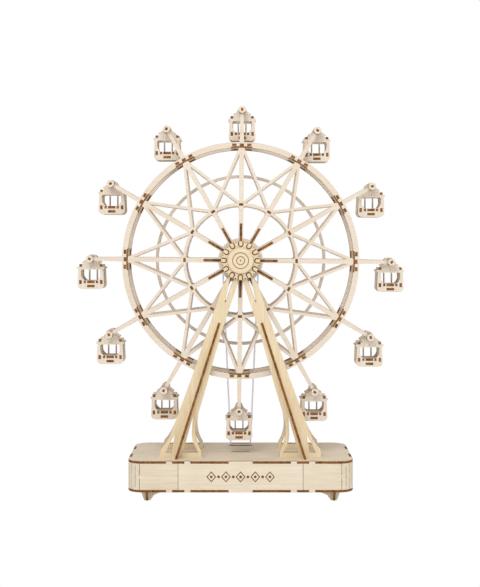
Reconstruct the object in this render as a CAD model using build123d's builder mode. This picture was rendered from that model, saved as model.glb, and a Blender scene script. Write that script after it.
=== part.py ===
"""Hand-cranked ferris wheel toy: a kit of 2 mm laser-cut plywood.

A lattice wheel with twelve hanging gondolas turns between two A-frames on a box base. A crank behind the
base drives it through a belt. Millimetres, +Z up, front of the toy towards -Y. The origin is the centre of
the toy's footprint, on the table.
"""

from build123d import *
from math import asin, atan2, cos, degrees, hypot, pi, radians, sin, sqrt
import os

os.makedirs("parts", exist_ok=True)

# ---------------------------------------------------------------- sheet and fits
sheet = 2.0  # plywood thickness of every flat piece
tab_gap = 0.05  # around a tab in its slot
push_gap = 0.01  # around a stick pushed into a hole and glued
running_gap = 0.05  # radial, around a stick that turns in a hole
tab_recess = 0.15  # a tab's end stops this far below the outer face
seam_gap = 0.3  # between two wall pieces
engraving = 0.4  # depth of engraved lines

# ---------------------------------------------------------------- base
base_length = 186.0
base_depth = 81.0
base_corner = 12.0
wall_height = 21.5
foot_height = 8.5
panel_length = 102.4  # front and rear panels, from seam to seam
wide_tab = 19.6  # middle tab of the panels
narrow_tab = 5.0
panel_tab_x = 43.6
band_tab_x = 58.6
side_tab = 12.0
side_tab_y = 16.0
hinge_slits = 5  # slits in each bendable corner
slit_width = 0.35
slit_bridge = 2.2  # wood left at the ends of a slit
tick_length = 1.5
tick_width = 0.7
tick_inset = 2.6
ornament_count = 5  # lozenges in the engraved row on the front panel
ornament_pitch = 12.0
ornament_width = 8.0
ornament_height = 9.0
ornament_line = 1.0
ornament_dot = 1.1
first_tick = 6.0
tick_pitch = 3.5

# ---------------------------------------------------------------- feet
foot_x = 77.2
foot_inset = 10.0  # from the base's edge to the foot's middle
foot_sole = 5.0
foot_heel = 5.6  # wing plate's reach at its top, away from the middle of the base
foot_wing = 16.1  # and towards it
foot_cross = 14.0
foot_tab = 6.0
foot_tab_x = 9.0

# ---------------------------------------------------------------- wheel
arm_count = 12
wheel_turn = -0.6  # degrees, how the wheel stands at rest
hub_above_base = 164.0
rim_radius = 99.5
rim_band = 4.6
node_inset = 2.5  # from the rim's outer edge to the middle of the tabs
arm_reach = 27.0  # from the rim's outer edge to the pivots
node_disc = 3.2
middle_ring = 72.2
inner_ring = 47.0
ring_band = 2.5
hub_disc = 18.8
arm_width = 3.8
arm_tip_width = 2.7
bar_width = 2.3
face_spacing = 28.0  # middle to middle of the two wheel faces
plank_width = 18.0
plank_tab = 3.4
plank_tab_pitch = 6.3
strut_width = 5.0
fin_start = 15.0
fin_end = 31.0
fin_shoulder = 2.0
fin_proud = 0.3
axle_radius = 3.0
washer_radius = 9.0

# ---------------------------------------------------------------- rosette, cap and hub pulley
rosette_radius = 16.0
notch_circle = 13.6  # middle of the engraved U shapes
notch_outer = 2.3
notch_inner = 1.4
nick_depth = 1.5  # small V cuts between the U shapes
nick_half = 0.9
cap_radius = 10.5
cap_rings = (3.3, 6.6)
cap_ring_width = 0.5
cap_dot = 0.6
stand_gap = 0.4  # between a turning disc and the A-frame beside it
spacer_radius = 5.5
spacer_length = 8.0
collar_radius = 6.0
axle_proud = 0.5

# ---------------------------------------------------------------- belt drive
belt_radius = 0.7
belt_gap = 0.3
hub_pitch_radius = 16.0
drive_pitch_radius = 8.0
flange_lip = 1.5  # a flange stands this far past the belt's middle line
slot_room = 1.2

# ---------------------------------------------------------------- gondolas
pin_thick = 2.0
pin_wide = 2.4
cap_disc = 3.05
pin_washer = 3.0
eye_radius = 3.0
cap_gap = 0.25  # between a cap disc and the arm
washer_gap = 0.3  # between a washer and the cabin
pin_turn = 47.0  # each pin stands this much further round than the one before
cabin_depth = 17.0  # over both end plates
cabin_half = 11.2
cabin_drop = 25.5  # pivot to the bottom edge
cabin_corner = 4.0
peak_radius = 3.6
upper_eave = 7.3
upper_eave_drop = 2.4
lower_eave = 11.7
lower_eave_drop = 6.8
eave_lip = 1.2
window_top = 9.0
window_bottom = 18.3
window_half = 8.2
window_bend_drop = 13.8  # below this the sides curve in to the sill
window_sill_half = 5.0
window_corner = 1.2
window_bar = 1.1
window_bar_x = 3.3
side_x = 8.8
side_top = 9.4
side_tab_height = 3.2
side_tab_drop = 19.6
seat_drop = 19.5
seat_side_tab = 1.8
seat_side_tab_x = 5.1
floor_drop = 23.0
floor_tab = 6.2
board_drop = 5.6
board_inner = 6.2
board_outer = 10.2
board_tab = 2.0
board_tab_x = 8.6
valance_hole = 0.5
valance_hole_drop = 6.9

# ---------------------------------------------------------------- A-frames
wheel_from_front = 36.1  # base front edge to the wheel's middle plane
frame_clearance = 0.75  # between the pins' cap discs and an A-frame
head_radius = 16.4
crotch_drop = 12.9  # hub centre to the point between the legs
leg_outer_top = (14.6, 20.0)  # x, drop below the hub
leg_inner_bend = (13.6, 53.0)
outer_flare = ((42.6, 60.8), (49.4, 43.0), (55.2, 27.5), (60.2, 15.6), (66.4, 7.2))  # x, height above the base
inner_flare = ((34.0, 40.8), (36.8, 30.0), (37.6, 20.5), (36.1, 12.8), (33.0, 6.2))
leg_inner_top = (28.0, 60.8)
foot_outer = 67.8
foot_inner = 32.2
inner_window = ((39.9, 34.0), (42.4, 24.6), (48.2, 4.1), (35.4, 4.1), (40.0, 13.5), (40.7, 19.0))
outer_window = ((55.2, 18.5), (59.3, 11.1), (62.6, 4.1), (57.3, 4.1))
slit_top = (7.4, 15.8)  # x, drop below the hub
slit_bottom = (12.8, 34.5)
slit_half_top = 1.6
slit_half_bottom = 0.4
frame_tabs = ((38.0, 8.0), (61.5, 5.0))  # x, width

# ---------------------------------------------------------------- ribs
rib_base_x = 53.4
rib_top_x = 17.7
rib_top_drop = 52.0  # below the hub
rib_reach = 9.3
rib_tip = 0.6
rib_tabs = (28.0, 78.0)  # along the leg
rib_tab = 8.0

# ---------------------------------------------------------------- crank
shaft_radius = 2.0
bearing_width = 30.0
bearing_tab = 15.4
front_bearing_from_front = 39.5
rear_bearing_from_rear = 6.5
shaft_hole_gap = 0.5
shaft_collar_radius = 5.0
crank_radius = 15.0
crank_width = 9.0
crank_gap = 1.0  # rear panel to the arm
knob_radius = 4.5
knob_length = 14.0
knob_round = 1.4
knob_gap = 0.5
crank_pin_radius = 1.5
crank_pin_head = 3.0
crank_pin_head_length = 1.5

# ---------------------------------------------------------------- places worked out from the sizes
node_radius = rim_radius - node_inset
pivot_radius = rim_radius + arm_reach
crank_reach = crank_gap + 2 * sheet + 2 * knob_gap + knob_length + crank_pin_head_length
base_y = -crank_reach / 2
base_front = base_y - base_depth / 2
base_rear = base_y + base_depth / 2
floor_z = foot_height + sheet  # top of the bottom plate
wall_top = floor_z + wall_height
base_top = wall_top + sheet
hub_z = base_top + hub_above_base
wheel_y = base_front + wheel_from_front
inside_faces = face_spacing - sheet  # clear space between the wheel faces
outside_faces = face_spacing + sheet
pin_length = outside_faces + 2 * (cap_gap + sheet)
frame_inside = pin_length / 2 + frame_clearance  # wheel's middle plane to an A-frame
frame_outside = frame_inside + sheet
pulley_start = frame_outside + stand_gap + spacer_length
belt_y = wheel_y + pulley_start + 1.5 * sheet
shaft_z = floor_z + wall_height / 2
pin_hole = hypot(pin_thick, pin_wide) / 2 + running_gap
belt_drop = hub_z - shaft_z
belt_lean = asin((hub_pitch_radius - drive_pitch_radius) / belt_drop)
crank_start = base_rear + crank_gap


def upright(y, z, x=0.0, turn=0.0):
    """A plane that faces the front of the toy, turned anticlockwise as seen from there."""
    across = (cos(radians(turn)), 0, sin(radians(turn)))
    return Plane(origin=(x, y, z), x_dir=across, z_dir=(0, -1, 0))


def level(z):
    """A horizontal plane centred on the base."""
    return Plane(origin=(0, base_y, z))


def save(shape, name):
    shape.label = name
    export_step(shape, f"parts/{name}.step")


def disc(rear_y, z, radius, bore, thickness=sheet, turn=0.0):
    """A round washer that faces the front."""
    with BuildPart() as ring:
        with BuildSketch(upright(rear_y, z, turn=turn)):
            Circle(radius)
            Circle(bore, mode=Mode.SUBTRACT)
        extrude(amount=thickness)
    return ring


# ---------------------------------------------------------------- base plates


def wall_notches():
    """Slots at a base plate's edge for the tabs of the walls."""
    notch = sheet + tab_gap
    along = [(0, wide_tab)]
    along += [(side * panel_tab_x, narrow_tab) for side in (-1, 1)]
    along += [(side * band_tab_x, narrow_tab) for side in (-1, 1)]
    for x, width in along:
        with Locations((x, -(base_depth - notch) / 2), (x, (base_depth - notch) / 2)):
            Rectangle(width + 2 * tab_gap, notch, mode=Mode.SUBTRACT)
    with GridLocations(base_length - notch, 2 * side_tab_y, 2, 2):
        Rectangle(notch, side_tab + 2 * tab_gap, mode=Mode.SUBTRACT)


def bearing_slots():
    for y in (front_bearing_y, rear_bearing_y):
        with Locations((0, y - base_y - sheet / 2)):
            Rectangle(bearing_tab + 2 * tab_gap, sheet + 2 * tab_gap, mode=Mode.SUBTRACT)


front_bearing_y = base_front + front_bearing_from_front + sheet  # rear faces
rear_bearing_y = base_rear - rear_bearing_from_rear + sheet
front_frame_y = wheel_y - frame_inside  # rear face of the front A-frame
back_frame_y = wheel_y + frame_outside
belt_half = drive_pitch_radius / cos(belt_lean) + (base_top - shaft_z) * sin(belt_lean)

with BuildPart() as base_top_plate:
    with BuildSketch(level(wall_top)):
        RectangleRounded(base_length, base_depth, base_corner)
        wall_notches()
        bearing_slots()
        with Locations((0, belt_y - base_y)):
            SlotOverall(2 * (belt_half + belt_radius + slot_room), 2 * (belt_radius + slot_room), mode=Mode.SUBTRACT)
        for frame_y in (front_frame_y, back_frame_y):
            for x, width in frame_tabs:
                with Locations((-x, frame_y - sheet / 2 - base_y), (x, frame_y - sheet / 2 - base_y)):
                    Rectangle(width + 2 * tab_gap, sheet + 2 * tab_gap, mode=Mode.SUBTRACT)
    extrude(amount=sheet)
    with BuildSketch(level(base_top)):
        for tick in range(hinge_slits):
            from_side = first_tick + tick * tick_pitch
            short = max(base_corner - from_side, 0)
            from_edge = base_corner - sqrt((base_corner - tick_inset) ** 2 - short**2)
            with GridLocations(base_length - 2 * from_side, base_depth - 2 * from_edge, 2, 2):
                Rectangle(tick_length, tick_width)
    extrude(amount=-engraving, mode=Mode.SUBTRACT)
save(base_top_plate.part, "base_top_plate")


def foot_places():
    """Middle of each foot, seen from the middle of the base."""
    reach = base_depth / 2 - foot_inset
    return [(side * foot_x, depth * reach, side) for depth in (-1, 1) for side in (-1, 1)]


with BuildPart() as base_bottom_plate:
    with BuildSketch(level(foot_height)):
        RectangleRounded(base_length, base_depth, base_corner)
        wall_notches()
        bearing_slots()
        for x, y, side in foot_places():
            with Locations((x - side * foot_tab_x, y)):
                Rectangle(foot_tab + 2 * tab_gap, sheet + 2 * tab_gap, mode=Mode.SUBTRACT)
    extrude(amount=sheet)
save(base_bottom_plate.part, "base_bottom_plate")


# ---------------------------------------------------------------- base walls
def ornament():
    """A plain row of lozenges with a dot in each and between them."""
    inner_width = ornament_width - 2 * ornament_line
    inner_height = ornament_height - 2 * ornament_line
    with BuildSketch() as row:
        with GridLocations(ornament_pitch, 0, ornament_count, 1):
            for width, height, mode in (
                (ornament_width, ornament_height, Mode.ADD),
                (inner_width, inner_height, Mode.SUBTRACT),
            ):
                Polygon((width / 2, 0), (0, height / 2), (-width / 2, 0), (0, -height / 2), mode=mode)
            Circle(ornament_dot)
        with GridLocations(ornament_pitch, 0, ornament_count - 1, 1):
            Circle(ornament_dot)
    return row.sketch


def wall_panel(rear_y, engraved):
    """Middle part of a wall, with tabs up and down: engraved at the front, with the shaft's hole at the rear."""
    with BuildPart() as panel:
        with BuildSketch(upright(rear_y, shaft_z)):
            Rectangle(panel_length - seam_gap, wall_height)
            Rectangle(wide_tab, wall_height + 2 * sheet)
            with Locations((-panel_tab_x, 0), (panel_tab_x, 0)):
                Rectangle(narrow_tab, wall_height + 2 * sheet)
            if not engraved:
                Circle(shaft_radius + shaft_hole_gap, mode=Mode.SUBTRACT)
        extrude(amount=sheet)
        if engraved:
            with BuildSketch(upright(rear_y - sheet, shaft_z)):
                add(ornament())
            extrude(amount=-engraving, mode=Mode.SUBTRACT)
    return panel


save(wall_panel(base_front + sheet, engraved=True).part, "base_front_panel")
save(wall_panel(base_rear, engraved=False).part, "base_rear_panel")


def end_band(side):
    """Wall round one end of the base, with slit corners that let the sheet bend."""
    half = (wall_height - slit_bridge) / 2
    with BuildPart() as band:
        with BuildSketch(level(floor_z)):
            RectangleRounded(base_length, base_depth, base_corner)
            inner = (base_length - 2 * sheet, base_depth - 2 * sheet, base_corner - sheet)
            RectangleRounded(*inner, mode=Mode.SUBTRACT)
            with Locations((side * (base_length - panel_length - seam_gap) / -2, 0)):
                Rectangle(base_length, base_depth, mode=Mode.SUBTRACT)
        extrude(amount=wall_height)
        with BuildSketch(level(foot_height)):
            with GridLocations(0, base_depth - sheet, 1, 2):
                with Locations((side * band_tab_x, 0)):
                    Rectangle(narrow_tab, sheet)
            with GridLocations(0, 2 * side_tab_y, 1, 2):
                with Locations((side * (base_length - sheet) / 2, 0)):
                    Rectangle(sheet, side_tab)
        extrude(amount=wall_height + 2 * sheet)
        for first_slit, start, height in (
            (0, floor_z, half),
            (0, wall_top - half, half),
            (1, floor_z + slit_bridge, wall_height - 2 * slit_bridge),
        ):
            with BuildSketch(level(start)):
                add(corner_slits(side, first_slit))
            extrude(amount=height, mode=Mode.SUBTRACT)
    return band


def corner_slits(side, first_slit):
    """Every other radial slit of both corners at one end, seen from above."""
    reach = base_corner - sheet / 2
    with BuildSketch() as slits:
        for depth in (-1, 1):
            centre = (side * (base_length / 2 - base_corner), depth * (base_depth / 2 - base_corner))
            for slit in range(first_slit, hinge_slits, 2):
                angle = 90 - side * 90 + side * depth * (slit + 0.5) * 90 / hinge_slits
                turned = radians(angle)
                with Locations((centre[0] + reach * cos(turned), centre[1] + reach * sin(turned))):
                    Rectangle(2 * sheet, slit_width, rotation=angle)
    return slits.sketch


save(end_band(-1).part, "base_left_band")
save(end_band(1).part, "base_right_band")


# ---------------------------------------------------------------- feet
def foot(x, y, side):
    """Two crossed plates; the wing points to the middle of the base."""
    sole = foot_sole / 2
    half_lap = foot_height / 2
    with BuildPart() as wing:
        with BuildSketch(upright(base_y + y + sheet / 2, 0, x=x)):
            with BuildLine():
                Polyline(
                    (side * foot_heel, foot_height),
                    (side * sole, 0),
                    (-side * sole, 0),
                    (-side * foot_heel, half_lap),
                )
                Spline(
                    (-side * foot_heel, half_lap),
                    (-side * (foot_heel + foot_wing) / 2, foot_height - sheet),
                    (-side * foot_wing, foot_height),
                )
                Line((-side * foot_wing, foot_height), (side * foot_heel, foot_height))
            make_face()
            with Locations((-side * foot_tab_x, foot_height)):
                Rectangle(foot_tab, 2 * (sheet - tab_recess))
            with Locations((0, foot_height - half_lap / 2)):
                Rectangle(sheet + 2 * tab_gap, half_lap, mode=Mode.SUBTRACT)
        extrude(amount=sheet)
    with BuildPart() as cross:
        plane = Plane(origin=(x - sheet / 2, base_y + y, 0), x_dir=(0, 1, 0), z_dir=(1, 0, 0))
        with BuildSketch(plane):
            Polygon(
                (-foot_cross / 2, foot_height),
                (-sole, 0),
                (sole, 0),
                (foot_cross / 2, foot_height),
                align=None,
            )
            with Locations((0, half_lap / 2)):
                Rectangle(sheet + 2 * tab_gap, half_lap, mode=Mode.SUBTRACT)
        extrude(amount=sheet)
    return [wing.part, cross.part]


feet = [foot(*place) for place in foot_places()]
save(Compound(children=feet[0] + feet[1]), "front_feet")
save(Compound(children=feet[2] + feet[3]), "back_feet")


# ---------------------------------------------------------------- A-frames
def leg_outline(side):
    """One leg with its flared foot, drawn from the hub's height down."""

    def above_base(point):
        return (side * point[0], point[1] - hub_above_base)

    def below_hub(point):
        return (side * point[0], -point[1])

    crotch = (0, -crotch_drop)
    outer = [above_base(point) for point in outer_flare]
    inner = [above_base(point) for point in inner_flare]
    inner_top = above_base(leg_inner_top)
    with BuildSketch() as leg:
        with BuildLine():
            Polyline((0, 0), below_hub(leg_outer_top), outer[0])
            Spline(*outer)
            Polyline(outer[-1], above_base((foot_outer, 0)), above_base((foot_inner, 0)), inner[-1])
            Spline(*reversed(inner))
            Line(inner[0], inner_top)
            ThreePointArc(inner_top, below_hub(leg_inner_bend), crotch)
            Line(crotch, (0, 0))
        make_face()
    return leg.sketch


def rib_line():
    """Foot and top of the middle line of a leg, x and height above the base, with its lean."""
    rise = hub_above_base - rib_top_drop
    lean = atan2(rib_base_x - rib_top_x, rise)
    return rise, lean


def a_frame(rear_y):
    rise, lean = rib_line()
    drop = -hub_above_base
    with BuildPart() as frame:
        with BuildSketch(upright(rear_y, hub_z)):
            Circle(head_radius)
            for side in (-1, 1):
                add(leg_outline(side))
            for side in (-1, 1):
                truss_windows(side, drop)
                leg_slit(side)
                for x, width in frame_tabs:
                    with Locations((side * x, drop - (sheet - tab_recess) / 2)):
                        Rectangle(width, sheet - tab_recess)
                for along in rib_tabs:
                    place = (side * (rib_base_x - along * sin(lean)), drop + along * cos(lean))
                    with Locations(place):
                        turn = side * degrees(lean)
                        Rectangle(sheet + 2 * tab_gap, rib_tab + 2 * tab_gap, rotation=turn, mode=Mode.SUBTRACT)
            Circle(axle_radius + running_gap, mode=Mode.SUBTRACT)
        extrude(amount=sheet)
    return frame


def truss_windows(side, drop):
    """The open triangles on both sides of the rib's foot."""
    for corners in (inner_window, outer_window):
        points = [(side * x, drop + height) for x, height in corners]
        Polygon(*points, align=None, mode=Mode.SUBTRACT)


def leg_slit(side):
    """A slit that starts below the head and narrows down the leg."""
    top = (side * slit_top[0], -slit_top[1])
    bottom = (side * slit_bottom[0], -slit_bottom[1])
    points = [
        (top[0] - slit_half_top, top[1]),
        (top[0] + slit_half_top, top[1]),
        (bottom[0] + slit_half_bottom, bottom[1]),
        (bottom[0] - slit_half_bottom, bottom[1]),
    ]
    Polygon(*points, align=None, mode=Mode.SUBTRACT)
    with Locations(top):
        Circle(slit_half_top, mode=Mode.SUBTRACT)
    with Locations(bottom):
        Circle(slit_half_bottom, mode=Mode.SUBTRACT)


save(a_frame(front_frame_y).part, "front_a_frame")
save(a_frame(back_frame_y).part, "back_a_frame")


def rib(side, face_y, outward):
    """A tapering plate that stands square on a leg; outward is -1 at the front."""
    rise, lean = rib_line()
    length = rise / cos(lean)
    foot_point = (side * rib_base_x, face_y, base_top)
    up_leg = (-side * sin(lean), 0, cos(lean))
    across = (cos(lean), 0, side * sin(lean))
    middle = Plane(origin=foot_point, x_dir=up_leg, z_dir=across)
    reach = outward if middle.y_dir.Y > 0 else -outward
    with BuildPart() as plate:
        with BuildSketch(middle):
            Polygon(
                (-sheet, 0),
                (-sheet, reach * rib_reach),
                (0, reach * rib_reach),
                (length, reach * rib_tip),
                (length, 0),
                align=None,
            )
            for along in rib_tabs:
                with Locations((along, -reach * (sheet - tab_recess) / 2)):
                    Rectangle(rib_tab, sheet - tab_recess)
        extrude(amount=sheet / 2, both=True)
        split(bisect_by=Plane.XY.offset(base_top), keep=Keep.TOP)
    return plate.part


front_face_y = front_frame_y - sheet
save(Compound(children=[rib(-1, front_face_y, -1), rib(1, front_face_y, -1)]), "front_ribs")
save(Compound(children=[rib(-1, back_frame_y, 1), rib(1, back_frame_y, 1)]), "back_ribs")


# ---------------------------------------------------------------- wheel faces
def star_bar(side):
    """Middle, length and angle of the bar from a rim node to the next inner node."""
    step = 2 * pi / arm_count
    start = Vector(node_radius, 0)
    end = Vector(inner_ring * cos(step), side * inner_ring * sin(step))
    run = end - start
    return (start + end) * 0.5, run.length, degrees(atan2(run.Y, run.X))


def wheel_face(rear_y, with_middle_ring):
    fin_slot = fin_end - fin_start + 2 * tab_gap
    with BuildPart() as face:
        with BuildSketch(upright(rear_y, hub_z, turn=wheel_turn)):
            Circle(rim_radius)
            Circle(rim_radius - rim_band, mode=Mode.SUBTRACT)
            if with_middle_ring:
                Circle(middle_ring + ring_band / 2)
                Circle(middle_ring - ring_band / 2, mode=Mode.SUBTRACT)
            Circle(inner_ring + ring_band / 2)
            Circle(inner_ring - ring_band / 2, mode=Mode.SUBTRACT)
            Circle(hub_disc)
            with PolarLocations(0, arm_count):
                with Locations((node_radius / 2, 0)):
                    Rectangle(node_radius, arm_width)
                Polygon(
                    (node_radius, arm_width / 2),
                    (node_radius, -arm_width / 2),
                    (pivot_radius, -arm_tip_width / 2),
                    (pivot_radius, arm_tip_width / 2),
                    align=None,
                )
                with Locations((pivot_radius, 0)):
                    Circle(eye_radius)
                with Locations((node_radius, 0), (inner_ring, 0)):
                    Circle(node_disc)
            for side in (-1, 1):
                middle, length, angle = star_bar(side)
                with PolarLocations(0, arm_count):
                    with Locations(middle):
                        Rectangle(length, bar_width, rotation=angle)
            with PolarLocations(0, arm_count):
                with Locations((pivot_radius, 0)):
                    Circle(pin_hole, mode=Mode.SUBTRACT)
                with Locations(
                    (node_radius, -plank_tab_pitch),
                    (node_radius, 0),
                    (node_radius, plank_tab_pitch),
                    (inner_ring, 0),
                ):
                    Rectangle(sheet + 2 * tab_gap, plank_tab + 2 * tab_gap, mode=Mode.SUBTRACT)
                with Locations(((fin_start + fin_end) / 2, 0)):
                    Rectangle(fin_slot, sheet + 2 * tab_gap, mode=Mode.SUBTRACT)
            Circle(axle_radius + push_gap, mode=Mode.SUBTRACT)
        extrude(amount=sheet)
    return face


save(wheel_face(wheel_y - inside_faces / 2, False).part, "wheel_front_face")
save(wheel_face(wheel_y + outside_faces / 2, True).part, "wheel_back_face")

tab_reach = inside_faces + 2 * (sheet - tab_recess)
wheel_plane = upright(wheel_y, hub_z, turn=wheel_turn)

with BuildPart(wheel_plane) as rim_cross_planks:
    with PolarLocations(node_radius, arm_count):
        Box(sheet, plank_width, inside_faces)
        with Locations((0, -plank_tab_pitch), (0, 0), (0, plank_tab_pitch)):
            Box(sheet, plank_tab, tab_reach)
save(rim_cross_planks.part, "rim_cross_planks")

with BuildPart(wheel_plane) as inner_cross_struts:
    with PolarLocations(inner_ring, arm_count):
        Box(sheet, strut_width, inside_faces)
        Box(sheet, plank_tab, tab_reach)
save(inner_cross_struts.part, "inner_cross_struts")

with BuildPart(wheel_plane) as hub_fins:
    with PolarLocations((fin_start + fin_end) / 2, arm_count):
        Box(fin_end - fin_start + 2 * fin_shoulder, sheet, inside_faces)
        Box(fin_end - fin_start, sheet, outside_faces + 2 * fin_proud)
save(hub_fins.part, "hub_fins")

# ---------------------------------------------------------------- axle and what turns on it
rosette_front = wheel_y - frame_outside - stand_gap - sheet
axle_rear = wheel_y + pulley_start + 4 * sheet + axle_proud
push_bore = axle_radius + push_gap

with BuildPart() as wheel_axle:
    with BuildSketch(upright(axle_rear, hub_z)):
        Circle(axle_radius)
    extrude(amount=axle_rear - rosette_front)
save(wheel_axle.part, "wheel_axle")

front_washer = disc(wheel_y - outside_faces / 2, hub_z, washer_radius, push_bore)
rear_washer = disc(wheel_y + outside_faces / 2 + sheet, hub_z, washer_radius, push_bore)
save(Compound(children=[front_washer.part, rear_washer.part]), "hub_washers")

with BuildPart() as front_rosette:
    with BuildSketch(upright(rosette_front + sheet, hub_z, turn=wheel_turn)):
        Circle(rosette_radius)
        Circle(push_bore, mode=Mode.SUBTRACT)
        with PolarLocations(0, arm_count, start_angle=180 / arm_count):
            Polygon(
                (rosette_radius - nick_depth, 0),
                (rosette_radius + nick_depth, 2 * nick_half),
                (rosette_radius + nick_depth, -2 * nick_half),
                align=None,
                mode=Mode.SUBTRACT,
            )
    extrude(amount=sheet)
    with BuildSketch(upright(rosette_front, hub_z, turn=wheel_turn)):
        for radius, mode in ((notch_outer, Mode.ADD), (notch_inner, Mode.SUBTRACT)):
            with PolarLocations(notch_circle, arm_count):
                Circle(radius, mode=mode)
                with Locations((notch_outer / 2 + radius / 2, 0)):
                    Rectangle(notch_outer + radius, 2 * radius, mode=mode)
    extrude(amount=-engraving, mode=Mode.SUBTRACT)
save(front_rosette.part, "front_rosette")

with BuildPart() as hub_cap:
    with BuildSketch(upright(rosette_front, hub_z)):
        Circle(cap_radius)
    extrude(amount=sheet)
    with BuildSketch(upright(rosette_front - sheet, hub_z)):
        for radius in sorted(cap_rings, reverse=True):
            Circle(radius + cap_ring_width / 2)
            Circle(radius - cap_ring_width / 2, mode=Mode.SUBTRACT)
        Circle(cap_dot)
    extrude(amount=-engraving, mode=Mode.SUBTRACT)
save(hub_cap.part, "hub_cap")

spacer_rear = wheel_y + pulley_start
axle_spacer = disc(spacer_rear, hub_z, spacer_radius, push_bore, thickness=spacer_length)
save(axle_spacer.part, "axle_spacer")


def belt_pulley(start_y, z, pitch_radius, bore):
    """Two flanges and the core that the belt runs on, front to back from start_y."""
    flange = pitch_radius + flange_lip
    core = pitch_radius - belt_radius - belt_gap
    front_flange = disc(start_y + sheet, z, flange, bore)
    core_disc = disc(start_y + 2 * sheet, z, core, bore)
    rear_flange = disc(start_y + 3 * sheet, z, flange, bore)
    return Compound(children=[front_flange.part, rear_flange.part]), core_disc.part


hub_flanges, hub_core = belt_pulley(belt_y - 1.5 * sheet, hub_z, hub_pitch_radius, push_bore)
save(hub_flanges, "hub_pulley_flanges")
save(hub_core, "hub_pulley_core")
save(disc(axle_rear - axle_proud, hub_z, collar_radius, push_bore).part, "axle_collar")


# ---------------------------------------------------------------- gondolas
def cabin_outline():
    """Pagoda roof in two tiers over a rounded cabin, drawn round the pivot."""
    peak = (peak_radius * cos(radians(20)), peak_radius * sin(radians(20)))
    upper = (upper_eave, -upper_eave_drop)
    upper_inner = (upper_eave - eave_lip, -upper_eave_drop - eave_lip)
    lower = (lower_eave, -lower_eave_drop)
    shoulder = (cabin_half - eave_lip / 2, -lower_eave_drop - 1.5 * eave_lip)
    waist = (cabin_half, -cabin_drop + cabin_corner)
    with BuildSketch() as outline:
        for side in (-1, 1):
            with BuildLine():
                Line((0, 0), (0, peak_radius))
                top = (side * peak_radius * cos(radians(60)), peak_radius * sin(radians(60)))
                ThreePointArc((0, peak_radius), top, (side * peak[0], peak[1]))
                sag = (side * (peak[0] + upper[0]) / 2.15, (peak[1] + upper[1]) / 2 - eave_lip / 2)
                ThreePointArc((side * peak[0], peak[1]), sag, (side * upper[0], upper[1]))
                Polyline(
                    (side * upper[0], upper[1]),
                    (side * upper[0], upper_inner[1]),
                    (side * upper_inner[0], upper_inner[1]),
                )
                sag = (side * (upper_inner[0] + lower[0]) / 2.1, (upper_inner[1] + lower[1]) / 2 - eave_lip / 2)
                ThreePointArc((side * upper_inner[0], upper_inner[1]), sag, (side * lower[0], lower[1]))
                Polyline(
                    (side * lower[0], lower[1]),
                    (side * lower[0], lower[1] - eave_lip),
                    (side * shoulder[0], shoulder[1]),
                    (side * waist[0], waist[1]),
                )
                corner = (side * (cabin_half - cabin_corner * 0.24), -cabin_drop + cabin_corner * 0.32)
                end = (side * (cabin_half - cabin_corner), -cabin_drop)
                ThreePointArc((side * waist[0], waist[1]), corner, end)
                Polyline(end, (0, -cabin_drop), (0, 0))
            make_face()
    return outline.sketch


def cabin_window():
    """The opening: rounded upper corners, and sides that curve in to the sill."""
    with BuildSketch() as opening:
        with BuildLine():
            Line((-window_sill_half, -window_bottom), (window_sill_half, -window_bottom))
            for side in (-1, 1):
                sill = (side * window_sill_half, -window_bottom)
                bend = (side * window_half, -window_bend_drop)
                middle = (
                    side * (window_half * 0.62 + window_sill_half * 0.38),
                    -window_bend_drop * 0.42 - window_bottom * 0.58,
                )
                ThreePointArc(sill, middle, bend)
                Line(bend, (side * window_half, -window_top))
            Line((-window_half, -window_top), (window_half, -window_top))
        make_face()
        fillet(opening.vertices().group_by(Axis.Y)[-1], window_corner)
    return opening.sketch


def cabin_plate(rear_y, x, z, with_bars):
    with BuildPart() as plate:
        with BuildSketch(upright(rear_y, z, x=x)):
            add(cabin_outline())
            add(cabin_window(), mode=Mode.SUBTRACT)
            if with_bars:
                height = window_bottom - window_top
                with Locations((-window_bar_x, -window_top - height / 2), (window_bar_x, -window_top - height / 2)):
                    Rectangle(window_bar, height)
            with Locations((-side_x, -side_tab_drop), (side_x, -side_tab_drop)):
                Rectangle(sheet + 2 * tab_gap, side_tab_height + 2 * tab_gap, mode=Mode.SUBTRACT)
            with Locations((0, -floor_drop), (0, -seat_drop)):
                Rectangle(floor_tab + 2 * tab_gap, sheet + 2 * tab_gap, mode=Mode.SUBTRACT)
            with Locations((-seat_side_tab_x, -seat_drop), (seat_side_tab_x, -seat_drop)):
                Rectangle(seat_side_tab + 2 * tab_gap, sheet + 2 * tab_gap, mode=Mode.SUBTRACT)
            with Locations((0, -valance_hole_drop)):
                Circle(valance_hole, mode=Mode.SUBTRACT)
            with Locations((-board_tab_x, -board_drop), (board_tab_x, -board_drop)):
                Rectangle(board_tab + 2 * tab_gap, sheet + 2 * tab_gap, mode=Mode.SUBTRACT)
            Circle(pin_hole, mode=Mode.SUBTRACT)
        extrude(amount=sheet)
    return plate.part


def cabin_piece(x, z, centre, size, tabs):
    """A plate between the two end plates; each tab is its place on the plate, its width and its height."""
    inside = cabin_depth - 2 * sheet
    with BuildPart() as piece:
        with BuildSketch(upright(wheel_y + inside / 2, z, x=x)):
            with Locations(centre):
                Rectangle(*size)
        extrude(amount=inside)
        with BuildSketch(upright(wheel_y + inside / 2 + sheet - tab_recess, z, x=x)):
            for across, along, width, height in tabs:
                with Locations((centre[0] + across, centre[1] + along)):
                    Rectangle(width, height)
        extrude(amount=inside + 2 * (sheet - tab_recess))
    return piece.part


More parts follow.
